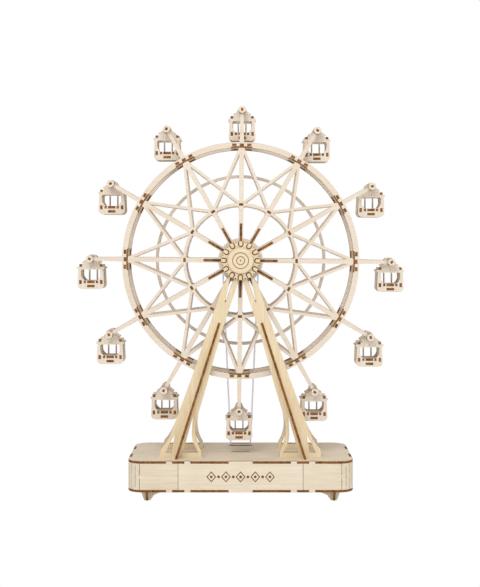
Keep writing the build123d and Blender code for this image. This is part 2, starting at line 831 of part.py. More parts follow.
def gondola_cabin(x, z):
    """End plates, side plates, seat, floor and eave boards of one gondola."""
    side_height = floor_drop + sheet / 2 - side_top
    side_centre = side_top + side_height / 2
    board_width = board_outer - board_inner
    board_x = (board_outer + board_inner) / 2
    floor_width = 2 * side_x - sheet - 2 * tab_gap
    middle_tab = (0, 0, floor_tab, sheet)
    seat_tabs = [middle_tab] + [(side * seat_side_tab_x, 0, seat_side_tab, sheet) for side in (-1, 1)]
    side_tabs = [(0, side_centre - side_tab_drop, sheet, side_tab_height)]
    pieces = [
        cabin_plate(wheel_y - cabin_depth / 2 + sheet, x, z, False),
        cabin_plate(wheel_y + cabin_depth / 2, x, z, True),
        cabin_piece(x, z, (0, -seat_drop), (floor_width, sheet), seat_tabs),
        cabin_piece(x, z, (0, -floor_drop), (floor_width, sheet), [middle_tab]),
    ]
    for side in (-1, 1):
        pieces.append(cabin_piece(x, z, (side * side_x, -side_centre), (sheet, side_height), side_tabs))
        board_tabs = [(side * (board_tab_x - board_x), 0, board_tab, sheet)]
        pieces.append(cabin_piece(x, z, (side * board_x, -board_drop), (board_width, sheet), board_tabs))
    return Compound(children=pieces)


def gondola_pin(x, z, turn):
    """A square strip with a cap disc at each end and two washers beside the cabin."""
    washer_rear = wheel_y - cabin_depth / 2 - washer_gap
    with BuildPart() as pin:
        with BuildSketch(upright(wheel_y + pin_length / 2 - tab_recess, z, x=x, turn=turn)):
            Rectangle(pin_thick, pin_wide)
        extrude(amount=pin_length - 2 * tab_recess)
        for rear_y, radius in (
            (wheel_y - pin_length / 2 + sheet, cap_disc),
            (wheel_y + pin_length / 2, cap_disc),
            (washer_rear, pin_washer),
            (2 * wheel_y - washer_rear + sheet, pin_washer),
        ):
            with BuildSketch(upright(rear_y, z, x=x, turn=turn)):
                Circle(radius)
                Rectangle(pin_thick + 2 * push_gap, pin_wide + 2 * push_gap, mode=Mode.SUBTRACT)
            extrude(amount=sheet)
    return pin.part


for number in range(arm_count):
    angle = radians(90 + wheel_turn - number * 360 / arm_count)
    pivot_x = pivot_radius * cos(angle)
    pivot_z = hub_z + pivot_radius * sin(angle)
    save(gondola_cabin(pivot_x, pivot_z), f"gondola_cabin_{number + 1:02d}")
    save(gondola_pin(pivot_x, pivot_z, number * pin_turn), f"gondola_pin_{number + 1:02d}")


# ---------------------------------------------------------------- crank and drive
def bearing(rear_y):
    with BuildPart() as plate:
        with BuildSketch(upright(rear_y, shaft_z)):
            Rectangle(bearing_width, wall_height)
            Rectangle(bearing_tab, wall_height + 2 * (sheet - tab_recess))
            Circle(shaft_radius + running_gap, mode=Mode.SUBTRACT)
        extrude(amount=sheet)
    return plate


save(bearing(front_bearing_y).part, "front_shaft_bearing")
save(bearing(rear_bearing_y).part, "rear_shaft_bearing")

shaft_bore = shaft_radius + push_gap
shaft_front = front_bearing_y - 2 * sheet - stand_gap
shaft_end = crank_start + 2 * sheet

with BuildPart() as crank_shaft:
    with BuildSketch(upright(shaft_end, shaft_z)):
        Circle(shaft_radius)
    extrude(amount=shaft_end - shaft_front)
save(crank_shaft.part, "crank_shaft")

front_collar = disc(front_bearing_y - sheet - stand_gap, shaft_z, shaft_collar_radius, shaft_bore)
rear_collar = disc(rear_bearing_y + stand_gap + sheet, shaft_z, shaft_collar_radius, shaft_bore)
save(Compound(children=[front_collar.part, rear_collar.part]), "shaft_collars")

drive_flanges, drive_core = belt_pulley(belt_y - 1.5 * sheet, shaft_z, drive_pitch_radius, shaft_bore)
save(drive_flanges, "drive_pulley_flanges")
save(drive_core, "drive_pulley_core")


def crank_layer(rear_y):
    with BuildPart() as layer:
        with BuildSketch(upright(rear_y, shaft_z)):
            with Locations((0, -crank_radius / 2)):
                SlotCenterToCenter(crank_radius, crank_width, rotation=90)
            Circle(shaft_bore, mode=Mode.SUBTRACT)
            with Locations((0, -crank_radius)):
                Circle(crank_pin_radius + push_gap, mode=Mode.SUBTRACT)
        extrude(amount=sheet)
    return layer.part


save(Compound(children=[crank_layer(crank_start + sheet), crank_layer(shaft_end)]), "crank_arm")

knob_z = shaft_z - crank_radius
knob_rear = shaft_end + knob_gap + knob_length
pin_end = knob_rear + knob_gap + crank_pin_head_length

with BuildPart() as crank_pin:
    with BuildSketch(upright(pin_end, knob_z)):
        Circle(crank_pin_radius)
    extrude(amount=pin_end - crank_start)
    with BuildSketch(upright(pin_end, knob_z)):
        Circle(crank_pin_head)
    extrude(amount=crank_pin_head_length)
save(crank_pin.part, "crank_pin")

with BuildPart() as crank_knob:
    with BuildSketch(upright(knob_rear, knob_z)):
        Circle(knob_radius)
    extrude(amount=knob_length)
    fillet(crank_knob.edges().filter_by(GeomType.CIRCLE), knob_round)
    with BuildSketch(upright(knob_rear, knob_z)):
        Circle(crank_pin_radius + running_gap)
    extrude(amount=knob_length, mode=Mode.SUBTRACT)
save(crank_knob.part, "crank_knob")


# ---------------------------------------------------------------- belt
def belt_point(centre_z, radius, angle):
    return (radius * cos(angle), centre_z + radius * sin(angle))


with BuildPart() as drive_belt:
    with BuildLine(upright(belt_y, 0)) as route:
        hub_right = belt_point(hub_z, hub_pitch_radius, -belt_lean)
        hub_left = belt_point(hub_z, hub_pitch_radius, pi + belt_lean)
        drive_right = belt_point(shaft_z, drive_pitch_radius, -belt_lean)
        drive_left = belt_point(shaft_z, drive_pitch_radius, pi + belt_lean)
        Line(drive_right, hub_right)
        ThreePointArc(hub_right, (0, hub_z + hub_pitch_radius), hub_left)
        Line(hub_left, drive_left)
        ThreePointArc(drive_left, (0, shaft_z - drive_pitch_radius), drive_right)
    with BuildSketch(Plane(origin=route.line @ 0, z_dir=route.line % 0)):
        Circle(belt_radius)
    sweep()
save(drive_belt.part, "drive_belt")

straight = sqrt(belt_drop**2 - (hub_pitch_radius - drive_pitch_radius) ** 2)
around = hub_pitch_radius * (pi + 2 * belt_lean) + drive_pitch_radius * (pi - 2 * belt_lean)
print("belt length", round(2 * straight + around, 1), "mm")
print("belt volume", round(drive_belt.part.volume, 1), "expected", round(pi * belt_radius**2 * (2 * straight + around), 1))
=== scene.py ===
# %% [markdown]
# # A plywood ferris wheel with a crank
#
# The real object is a desktop kit. Its flat pieces are cut by a laser out of 2 mm basswood plywood, so
# every face is pale wood with a fine grain, and every cut edge and slot is scorched brown. The shapes
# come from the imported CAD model. This script adds what a CAD model has not got: the wood, the scorched
# edges, the clear elastic belt, the floor, the light and the camera.

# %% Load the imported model
import math

import bpy
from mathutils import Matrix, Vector


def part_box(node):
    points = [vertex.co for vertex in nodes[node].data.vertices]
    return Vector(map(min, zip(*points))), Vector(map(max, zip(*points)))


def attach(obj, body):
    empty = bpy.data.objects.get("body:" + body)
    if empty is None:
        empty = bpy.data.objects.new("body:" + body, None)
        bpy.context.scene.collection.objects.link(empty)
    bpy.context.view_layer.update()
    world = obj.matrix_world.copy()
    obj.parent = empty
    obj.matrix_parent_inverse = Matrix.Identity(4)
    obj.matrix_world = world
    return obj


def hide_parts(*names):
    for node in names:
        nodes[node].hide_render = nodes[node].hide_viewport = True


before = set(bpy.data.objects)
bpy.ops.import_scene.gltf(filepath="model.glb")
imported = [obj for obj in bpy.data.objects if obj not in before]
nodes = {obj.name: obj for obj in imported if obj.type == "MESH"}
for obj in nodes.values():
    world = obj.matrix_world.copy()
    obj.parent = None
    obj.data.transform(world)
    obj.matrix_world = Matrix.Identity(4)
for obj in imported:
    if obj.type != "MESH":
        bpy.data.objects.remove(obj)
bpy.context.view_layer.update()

# %% [markdown]
# ## Sizes the looks depend on
#
# A finish has to know where the wood is, such as the height of the hub and the base's outline. Those
# places are read off the CAD nodes. The sheet's thickness and the depth of an engraving are typed in.

# %% Places, in metres
MM = 0.001


def middle(node):
    low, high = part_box(node)
    return (Vector(low) + Vector(high)) / 2


wheel_middle = (middle("wheel_front_face") + middle("wheel_back_face")) / 2
hub_height = middle("wheel_axle").z
base_low, base_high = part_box("base_top_plate")
panel_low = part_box("base_front_panel")[0]
print("hub", round(hub_height, 4), "wheel plane", round(wheel_middle.y, 4))

# %% [markdown]
# ## Colour
#
# Shaders work with linear light, but a colour is easier to pick as the hex value of a picture. One
# function turns the one into the other.


# %% Hex to linear
def linear(hex_value):
    channels = [int(hex_value[i : i + 2], 16) / 255 for i in (1, 3, 5)]
    straight = [c / 12.92 if c <= 0.04045 else ((c + 0.055) / 1.055) ** 2.4 for c in channels]
    return (*straight, 1.0)


# %% [markdown]
# ## One way to add a shader node
#
# A node tree is a list of nodes with settings and links. This function adds one node, sets its
# properties, and fills each named input with a value or with another node's output.


# %% Node helper
def add_node(tree, kind, inputs=None, **settings):
    node = tree.nodes.new(kind)
    for name, value in settings.items():
        setattr(node, name, value)
    for name, value in (inputs or {}).items():
        socket = node.inputs[name]
        if isinstance(value, bpy.types.NodeSocket):
            tree.links.new(value, socket)
        else:
            socket.default_value = value
    return node


def new_material(name):
    material = bpy.data.materials.new(name)
    material.use_nodes = True
    material.node_tree.nodes.clear()
    return material, material.node_tree


def shade_surface(material, tree, settings):
    """Give a material one Principled surface."""
    shader = add_node(tree, "ShaderNodeBsdfPrincipled", settings)
    output = add_node(tree, "ShaderNodeOutputMaterial")
    tree.links.new(shader.outputs[0], output.inputs["Surface"])
    return material


# %% [markdown]
# ## Basswood plywood, cut by laser
#
# Basswood veneer is pale cream with soft, straight streaks a millimetre or so wide and tens of
# millimetres long, and small dark flecks. It is unfinished, so it is matte. First come the small tools
# that draw such a pattern: noise that is squeezed across the grain, a mixer for colours, and arithmetic.

# %% Sizes of the wood's marks
VENEER_STREAK = 1.1 * MM  # width of a streak of the grain
STREAK_LENGTH = 26 * MM
CLOUD = 38 * MM  # size of the slow change in tone
FLECK = 0.55 * MM
SCORCH_CLOUD = 3.2 * MM
SHEET = 2 * MM
RECESS = 0.15 * MM  # how far the end of a tab lies below the face
ENGRAVING = 0.4 * MM
SLACK = 0.04 * MM  # half the thickness of a slab of depth that a mask picks out
GRAIN_NOISE = {"Scale": 1.0, "Detail": 4.0, "Roughness": 0.6, "Distortion": 0.25}
print("streaks", VENEER_STREAK, "m wide and", STREAK_LENGTH, "m long")


# %% Pattern helpers
def grain_pattern(tree, position, along):
    """Streaks along one axis, 0 to 1."""
    scale = [1 / VENEER_STREAK] * 3
    scale["XYZ".index(along)] = 1 / STREAK_LENGTH
    stretched = add_node(tree, "ShaderNodeMapping", {"Vector": position, "Scale": scale})
    settings = {"Vector": stretched.outputs[0], **GRAIN_NOISE}
    return add_node(tree, "ShaderNodeTexNoise", settings).outputs["Fac"]


def cloud_pattern(tree, position, size, detail):
    """Soft blotches of one size, 0 to 1."""
    settings = {"Vector": position, "Scale": 1 / size, "Detail": detail}
    return add_node(tree, "ShaderNodeTexNoise", settings).outputs["Fac"]


def mix_colour(tree, factor, first, second):
    mixer = add_node(tree, "ShaderNodeMix", data_type="RGBA")
    for socket, value in ((mixer.inputs[0], factor), (mixer.inputs[6], first), (mixer.inputs[7], second)):
        if isinstance(value, bpy.types.NodeSocket):
            tree.links.new(value, socket)
        else:
            socket.default_value = value
    return mixer.outputs[2]


def calculate(tree, operation, first, second=0.0):
    values = {0: first, 1: second}
    return add_node(tree, "ShaderNodeMath", values, operation=operation).outputs[0]


def vector_step(tree, operation, first, second=(0.0, 0.0, 0.0)):
    values = {0: first, 1: second}
    return add_node(tree, "ShaderNodeVectorMath", values, operation=operation)


def stretch(tree, value, low, high, to_low=0.0, to_high=1.0):
    inputs = {"Value": value, "From Min": low, "From Max": high, "To Min": to_low, "To Max": to_high}
    return add_node(tree, "ShaderNodeMapRange", inputs, clamp=True).outputs[0]


def between(tree, value, low, high):
    """1 where a value lies between two limits, or else 0."""
    above = calculate(tree, "GREATER_THAN", value, low)
    return calculate(tree, "MULTIPLY", above, calculate(tree, "LESS_THAN", value, high))


def facing(tree, direction, axis):
    """How squarely the surface faces along an axis, 0 to 1."""
    return calculate(tree, "ABSOLUTE", vector_step(tree, "DOT_PRODUCT", direction, axis).outputs["Value"])


# %% [markdown]
# ## Which way does the sheet face?
#
# The laser scorches every cut edge brown. Every sheet is flat, so whether a point is on the veneer or on
# a cut edge follows from which way its surface faces. For a wall of the base that is any level
# direction, for a cross plank it is away from the axle, and for a fin it is round the axle. A gondola
# and a foot are made of sheets that stand two ways, so there the place of the point decides first.


# %% Sheet directions
def away_from_axle(tree, position):
    """Vector from the wheel's axle straight out to the point."""
    away = vector_step(tree, "SUBTRACT", position, (0.0, 0.0, hub_height)).outputs[0]
    return vector_step(tree, "MULTIPLY", away, (1.0, 0.0, 1.0)).outputs[0]


def two_ways(tree, position, middle_y, half_depth, inside, outside):
    """Squareness of a piece whose sheets face one way near its middle plane and another way beyond."""
    depth = add_node(tree, "ShaderNodeSeparateXYZ", {0: position}).outputs["Y"]
    from_middle = calculate(tree, "ABSOLUTE", calculate(tree, "SUBTRACT", depth, middle_y))
    beyond = calculate(tree, "GREATER_THAN", from_middle, half_depth)
    return add_node(tree, "ShaderNodeMix", {0: beyond, 2: inside, 3: outside}, data_type="FLOAT").outputs[0]


def veneer_share(tree, faces, position, direction, middle_y, half_depth):
    """Near 1 on the veneer and near 0 on a cut edge."""
    if faces in ("X", "Y", "Z"):
        return facing(tree, direction, tuple(float(letter == faces) for letter in "XYZ"))
    lengthwise = facing(tree, direction, (0.0, 1.0, 0.0))
    if faces == "upright":
        return calculate(tree, "SUBTRACT", 1.0, facing(tree, direction, (0.0, 0.0, 1.0)))
    if faces == "foot":
        across = facing(tree, direction, (1.0, 0.0, 0.0))
        return two_ways(tree, position, middle_y, half_depth, lengthwise, across)
    if faces == "cabin":
        across = calculate(tree, "SUBTRACT", 1.0, lengthwise)
        return two_ways(tree, position, middle_y, half_depth, across, lengthwise)
    unit = vector_step(tree, "NORMALIZE", away_from_axle(tree, position)).outputs[0]
    outward = facing(tree, direction, unit)
    if faces == "radial":
        return outward
    return calculate(tree, "SUBTRACT", 1.0, calculate(tree, "MAXIMUM", outward, lengthwise))


# %% [markdown]
# ## Scorch marks and painted shade on the veneer
#
# Three more things are brown though they face the front: the ends of tabs, which sit a hair below the
# face in their slots, the floors of engraved lines, and a band of painted shade on the wheel's rim, just
# inside each cross plank, where the plank meets the rim. The first two lie in known thin slabs of depth.
# The third is worked out from the distance to the axle and the angle to the nearest arm.

# %% Marks
ARMS = 12
ARM_STEP = math.tau / ARMS
PLANK_HALF = 9 * MM
# a band of painted shade on the rim where the cross planks meet it, as distances from the axle
PLANK_SHADE_LOW, PLANK_SHADE_HIGH = 94.6 * MM, 95.9 * MM  # distance from the axle
WHEEL_TURN = math.radians(-0.6)  # the first arm stands this far from upright


def slabs(tree, depth, ends):
    """1 inside any of the thin slabs of depth."""
    mask = 0.0
    for end in ends:
        mask = calculate(tree, "MAXIMUM", mask, between(tree, depth, end - SLACK, end + SLACK))
    return mask


def rim_smoke(tree, position):
    """Painted shade on the rim's inner edge beside every arm, as far as a cross plank is wide."""
    flat = away_from_axle(tree, position)
    radius = vector_step(tree, "LENGTH", flat).outputs["Value"]
    parts = add_node(tree, "ShaderNodeSeparateXYZ", {0: flat}).outputs
    angle = calculate(tree, "ARCTAN2", parts["Z"], parts["X"])
    offset = calculate(tree, "PINGPONG", calculate(tree, "SUBTRACT", angle, WHEEL_TURN), ARM_STEP / 2)
    sideways = calculate(tree, "MULTIPLY", offset, radius)
    near_plank = calculate(tree, "LESS_THAN", sideways, PLANK_HALF)
    return calculate(tree, "MULTIPLY", near_plank, between(tree, radius, PLANK_SHADE_LOW, PLANK_SHADE_HIGH))


# %% [markdown]
# ## The bend slits of the base
#
# The end bands bend round the base's corners because slits are cut through them. A slit's wall is upright
# like the band's own face, so here the depth below the base's outline tells the two apart.

# %% Depth in a wall
CORNER = 12 * MM
WALL_LOW, WALL_HIGH = -1.7 * MM, -0.3 * MM  # inside the wall, clear of both of its faces
base_half = [(high - low) / 2 for low, high in zip(base_low, base_high)]
base_centre_y = (base_low[1] + base_high[1]) / 2


def slit_walls(tree, position):
    """1 inside the thickness of the base's walls."""
    off_centre = vector_step(tree, "SUBTRACT", position, (0.0, base_centre_y, 0.0)).outputs[0]
    mirrored = vector_step(tree, "ABSOLUTE", off_centre).outputs[0]
    core = (base_half[0] - CORNER, base_half[1] - CORNER, 1.0)  # one metre up leaves the height out
    past_core = vector_step(tree, "SUBTRACT", mirrored, core).outputs[0]
    outside = vector_step(tree, "MAXIMUM", past_core, (0.0, 0.0, 0.0)).outputs[0]
    distance = vector_step(tree, "LENGTH", outside).outputs["Value"]
    return between(tree, calculate(tree, "SUBTRACT", distance, CORNER), WALL_LOW, WALL_HIGH)


# %% [markdown]
# ## One function for every sheet
#
# Each kind of sheet differs in a few ways only: which way it faces, which way its grain runs, its two
# colours, and its marks. On a cut edge the three plies show as a darker line between two lighter ones.
# Beside each cut the smoke leaves a thin tan line on the veneer: the Bevel node finds it, because the
# rounded direction that it gives differs from the true one only near an edge.


# %% Plywood material
# cut-edge colours; the same colours also paint the shade on the rim beside the cross planks
EDGE, CHAR = "#94622f", "#54320f"
HALO = 0.35 * MM
BEVEL_SAMPLES = 4
OFFSET_SHARES = (1.0, 0.7, 1.3)  # of a sheet's own offset, along X, Y and Z
STREAK_SHARE = 0.6  # how much of the grain's darker colour a full streak shows
CLOUD_SHARE, FLECK_SHARE = 0.35, 0.25
MIDDLE_PLY = (0.36, 0.64)  # where the middle ply lies in the sheet's thickness
MIDDLE_PLY_SHARE = 0.35
EDGE_FROM, EDGE_TO = 0.45, 0.6  # squareness over which cut edge turns into veneer
BUMP = {"Strength": 0.18, "Distance": 0.08 * MM}
ROUGH_LOW, ROUGH_HIGH = 0.62, 0.74
SHINE = 0.3


def plywood(
    name, faces, grain, colours, ends=(), offset=0.0, at=(0.0, 0.0), smoke=False, layers_from=0.0, halo=0.5
):
    """faces is X, Y, Z, upright, radial, tangent, cabin or foot; colours are the grain's light and dark."""
    material, tree = new_material(name)
    coordinates = add_node(tree, "ShaderNodeTexCoord")
    position = coordinates.outputs["Object"]
    direction = coordinates.outputs["Normal"]
    moved = vector_step(tree, "ADD", position, tuple(offset * share for share in OFFSET_SHARES)).outputs[0]

    # the veneer's own colour
    veneer, shade = (linear(value) for value in colours)
    streaks = stretch(tree, grain_pattern(tree, moved, grain), 0.34, 0.68)
    wood = mix_colour(tree, calculate(tree, "MULTIPLY", streaks, STREAK_SHARE), veneer, shade)
    clouds = stretch(tree, cloud_pattern(tree, moved, CLOUD, 2.0), 0.45, 0.75, 0.0, CLOUD_SHARE)
    wood = mix_colour(tree, clouds, wood, shade)
    flecks = stretch(tree, cloud_pattern(tree, moved, FLECK, 1.0), 0.66, 0.8, 0.0, FLECK_SHARE)
    wood = mix_colour(tree, flecks, wood, linear(EDGE))

    # the tan line beside each cut
    rounded = add_node(tree, "ShaderNodeBevel", {"Radius": HALO}, samples=BEVEL_SAMPLES).outputs[0]
    true_normal = add_node(tree, "ShaderNodeNewGeometry").outputs["True Normal"]
    agreement = vector_step(tree, "DOT_PRODUCT", rounded, true_normal).outputs["Value"]
    wood = mix_colour(tree, stretch(tree, agreement, 0.8, 0.99, halo, 0.0), wood, linear(EDGE))

    # the scorched edge, with the middle ply darker; the same colour paints the shade beside the cross
    # planks
    scorch_noise = stretch(tree, cloud_pattern(tree, moved, SCORCH_CLOUD, 5.0), 0.35, 0.7)
    scorch_and_shade = mix_colour(tree, scorch_noise, linear(EDGE), linear(CHAR))
    axis = faces if faces in ("X", "Z") else "Y"
    depth = add_node(tree, "ShaderNodeSeparateXYZ", {0: position}).outputs[axis]
    layer = calculate(tree, "DIVIDE", calculate(tree, "SUBTRACT", depth, layers_from), SHEET)
    middle_ply = between(tree, calculate(tree, "FRACT", layer), *MIDDLE_PLY)
    darker = calculate(tree, "MULTIPLY", middle_ply, MIDDLE_PLY_SHARE)
    scorch_and_shade = mix_colour(tree, darker, scorch_and_shade, linear(CHAR))

    # which of the two shows
    share = veneer_share(tree, faces, position, direction, *at)
    edge_and_shade = stretch(tree, share, EDGE_FROM, EDGE_TO, 1.0, 0.0)
    edge_and_shade = calculate(tree, "MAXIMUM", edge_and_shade, slabs(tree, depth, ends))
    # painted shade on the rim where each cross plank meets it, in the scorched colour
    if smoke:
        edge_and_shade = calculate(tree, "MAXIMUM", edge_and_shade, rim_smoke(tree, position))
    if faces == "upright":
        edge_and_shade = calculate(tree, "MAXIMUM", edge_and_shade, slit_walls(tree, position))
    colour = mix_colour(tree, edge_and_shade, wood, scorch_and_shade)

    bump = add_node(tree, "ShaderNodeBump", {**BUMP, "Height": streaks}).outputs[0]
    rough = stretch(tree, streaks, 0.0, 1.0, ROUGH_LOW, ROUGH_HIGH)
    surface = {"Base Color": colour, "Roughness": rough, "Normal": bump, "Specular IOR Level": SHINE}
    return shade_surface(material, tree, surface)


# %% [markdown]
# ## Dress the stand
#
# The stand's sheets are cream and the A-frames a shade yellower. Each sheet gets its own offset, so that
# no two show the same streaks. The row of lozenges on the front panel and the ticks on the top plate are
# engraved, so their floors are scorched.

# %% Stand
BASE_WOOD = ("#e6dac6", "#cfbb9c")
PANEL_WOOD = ("#e8dcc9", "#d6c4a7")
FRAME_WOOD = ("#e8d8ba", "#d2b98f")
WHEEL_WOOD = ("#e4d8ca", "#d2c0a6")


def dress(node_names, material):
    for name in node_names:
        slots = nodes[name].data.materials
        slots.clear()
        slots.append(material)
    print(material.name, "on", len(node_names), "nodes")


def low_edge(name, axis):
    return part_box(name)[0][axis]


def dress_sheet(name, faces, grain, colours, label=None, **marks):
    """Dress one node, with the plies counted from its own lowest face."""
    low = low_edge(name, "XYZ".index(faces))
    label = "basswood_ply_" + (label or name)
    dress([name], plywood(label, faces, grain, colours, layers_from=low, **marks))


ticks = (base_high[2] - ENGRAVING,)
lozenges = (panel_low[1] + ENGRAVING,)
dress_sheet("base_top_plate", "Z", "X", BASE_WOOD, "top", ends=ticks)
dress_sheet("base_bottom_plate", "Z", "X", BASE_WOOD, "floor", offset=0.31)
dress_sheet("base_front_panel", "Y", "X", PANEL_WOOD, "front", ends=lozenges, offset=0.5)
dress_sheet("base_rear_panel", "Y", "X", BASE_WOOD, "rear", offset=0.8)
for name, shift in (("base_left_band", 1.9), ("base_right_band", 2.3)):
    label = name.removeprefix("base_")
    dress([name], plywood("basswood_ply_" + label, "upright", "X", BASE_WOOD, offset=shift))
for name, shift in (("front_shaft_bearing", 1.2), ("rear_shaft_bearing", 1.3)):
    dress_sheet(name, "Y", "X", BASE_WOOD, offset=shift)
for name, shift in (("front_a_frame", 0.2), ("back_a_frame", 0.9)):
    dress_sheet(name, "Y", "Z", FRAME_WOOD, offset=shift)
dress(["front_ribs", "back_ribs"], plywood("basswood_ply_ribs", "X", "Z", FRAME_WOOD, offset=1.7))
for name, shift in (("front_feet", 1.5), ("back_feet", 1.6)):
    wing = (middle(name).y, SHEET / 2 + SLACK)
    dress([name], plywood("basswood_ply_" + name, "foot", "X", BASE_WOOD, offset=shift, at=wing))

# %% [markdown]
# ## Dress the wheel and the gondolas
#
# The wheel is paler than the stand and a little pink. The rosette's U shapes and the cap's rings are
# engraved. In a gondola, what lies between the two end plates faces up or sideways, and the ends of its
# tabs show in the end plates' slots. A pin's own end shows as a dark square in its cap disc.

# %% Wheel
FIRST_DISC_SHIFT, DISC_SHIFT_STEP = 0.6, 0.13
# both faces of the wheel get painted shade on the rim beside each cross plank
for name, shift in (("wheel_front_face", 0.4), ("wheel_back_face", 1.1)):
    dress_sheet(name, "Y", "X", WHEEL_WOOD, offset=shift, smoke=True)
cross_pieces = plywood("basswood_ply_cross", "radial", "Y", FRAME_WOOD)
dress(["rim_cross_planks", "inner_cross_struts"], cross_pieces)
dress(["hub_fins"], plywood("basswood_ply_fins", "tangent", "Y", FRAME_WOOD))
for name, shift in (("front_rosette", 0.6), ("hub_cap", 0.66)):
    dress_sheet(name, "Y", "X", FRAME_WOOD, offset=shift, ends=(low_edge(name, 1) + ENGRAVING,))
discs = ["hub_washers", "axle_spacer", "hub_pulley_flanges", "hub_pulley_core", "axle_collar"]
discs += ["drive_pulley_flanges", "drive_pulley_core", "shaft_collars", "crank_arm"]
for count, name in enumerate(discs):
    dress_sheet(name, "Y", "X", FRAME_WOOD, offset=FIRST_DISC_SHIFT + DISC_SHIFT_STEP * count)

# %% Gondolas
cabins = [name for name in nodes if name.startswith("gondola_cabin")]
pins = [name for name in nodes if name.startswith("gondola_pin")]
cabin_low, cabin_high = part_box(cabins[0])
cabin_half = (cabin_high[1] - cabin_low[1]) / 2
cabin_tabs = (cabin_low[1] + RECESS, cabin_high[1] - RECESS)
between_plates = (wheel_middle.y, cabin_half - SHEET - SLACK)
CABIN_SHIFT_STEP, CABIN_HALO = 0.17, 0.15
cabin_marks = {"ends": cabin_tabs, "at": between_plates, "halo": CABIN_HALO}
for count, name in enumerate(cabins):
    shift = CABIN_SHIFT_STEP * count
    dress([name], plywood("basswood_ply_" + name, "cabin", "Z", WHEEL_WOOD, offset=shift, **cabin_marks))
pin_low, pin_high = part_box(pins[0])
pin_ends = (pin_low[1] + RECESS, pin_high[1] - RECESS)
dress(pins, plywood("basswood_ply_pins", "Y", "X", WHEEL_WOOD, pin_ends, 0.7, layers_from=pin_low[1]))

# %% [markdown]
# ## Turned dowels
#
# The axle, the crank's shaft and pin, and the knob are round birch sticks, a little yellower than the
# sheets and faintly shiny from the lathe. Their grain runs along the stick.


# %% Dowel material
def dowel_wood():
    material, tree = new_material("birch_dowel_turned")
    position = add_node(tree, "ShaderNodeTexCoord").outputs["Object"]
    streaks = stretch(tree, grain_pattern(tree, position, "Y"), 0.35, 0.7)
    colour = mix_colour(tree, streaks, linear("#e6cfa4"), linear("#c9a670"))
    rough = stretch(tree, streaks, 0.0, 1.0, 0.45, 0.6)
    return shade_surface(material, tree, {"Base Color": colour, "Roughness": rough})


dress(["wheel_axle", "crank_shaft", "crank_pin", "crank_knob"], dowel_wood())

# %% [markdown]
# ## The belt
#
# A thin clear elastic cord, the kind used for bead bracelets, goes round the two pulleys. It is
# polyurethane: almost colourless, with a faint violet tint, and shiny. Its path follows a rule, two arcs
# joined by two straight runs, so a few points make the line and Geometry Nodes give it its round section.
# A fixed mesh would do too, but here the thickness stays one number.

# %% Belt path
CORD_GAP = 0.3 * MM  # between the cord and the pulley's core
ARC_STEPS = 28
belt_low, belt_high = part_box("drive_belt")
cord_radius = (belt_high[1] - belt_low[1]) / 2
belt_y = middle("drive_belt").y


def pitch_radius(core):
    low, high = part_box(core)
    return (high[0] - low[0]) / 2 + CORD_GAP + cord_radius


hub_pitch, drive_pitch = pitch_radius("hub_pulley_core"), pitch_radius("drive_pulley_core")
shaft_height = middle("drive_pulley_core").z
lean = math.asin((hub_pitch - drive_pitch) / (hub_height - shaft_height))
belt_points = []
for radius, centre, start, sweep in (
    (hub_pitch, hub_height, -lean, math.pi + 2 * lean),
    (drive_pitch, shaft_height, math.pi + lean, math.pi - 2 * lean),
):
    for step in range(ARC_STEPS + 1):
        angle = start + sweep * step / ARC_STEPS
        belt_points.append((radius * math.cos(angle), belt_y, centre + radius * math.sin(angle)))
print("belt pulleys", round(hub_pitch, 4), round(drive_pitch, 4), "m,", len(belt_points), "points")


# %% Belt material
def clear_elastic():
    material, tree = new_material("polyurethane_cord_clear")
    position = add_node(tree, "ShaderNodeTexCoord").outputs["Object"]
    haze = cloud_pattern(tree, position, 2.5 * MM, 2.0)
    colour = mix_colour(tree, haze, linear("#f4f1f8"), linear("#e6e1ef"))
    surface = {"Base Color": colour, "Roughness": 0.25, "IOR": 1.3, "Transmission Weight": 0.7}
    return shade_surface(material, tree, surface)


# %% Belt tree: a line of points becomes a closed cord
CORD_SIDES = 12
elastic = clear_elastic()


def cord_tree():
    tree = bpy.data.node_groups.new("cord_along_points", "GeometryNodeTree")
    tree.interface.new_socket("Path", in_out="INPUT", socket_type="NodeSocketGeometry")
    tree.interface.new_socket("Cord radius", in_out="INPUT", socket_type="NodeSocketFloat")
    tree.interface.new_socket("Sides", in_out="INPUT", socket_type="NodeSocketInt")
    tree.interface.new_socket("Cord", in_out="OUTPUT", socket_type="NodeSocketGeometry")
    given = add_node(tree, "NodeGroupInput").outputs
    line = add_node(tree, "GeometryNodeMeshToCurve", {"Mesh": given["Path"]})
    circle = {"Resolution": given["Sides"], "Radius": given["Cord radius"]}
    section = add_node(tree, "GeometryNodeCurvePrimitiveCircle", circle)
    sweep = {"Curve": line.outputs[0], "Profile Curve": section.outputs[0]}
    cord = add_node(tree, "GeometryNodeCurveToMesh", sweep)
    smooth = add_node(tree, "GeometryNodeSetShadeSmooth", {"Geometry": cord.outputs[0]})
    real = add_node(tree, "GeometryNodeRealizeInstances", {"Geometry": smooth.outputs[0]})
    finish = add_node(tree, "GeometryNodeSetMaterial", {"Geometry": real.outputs[0], "Material": elastic})
    add_node(tree, "NodeGroupOutput", {"Cord": finish.outputs[0]})
    return tree


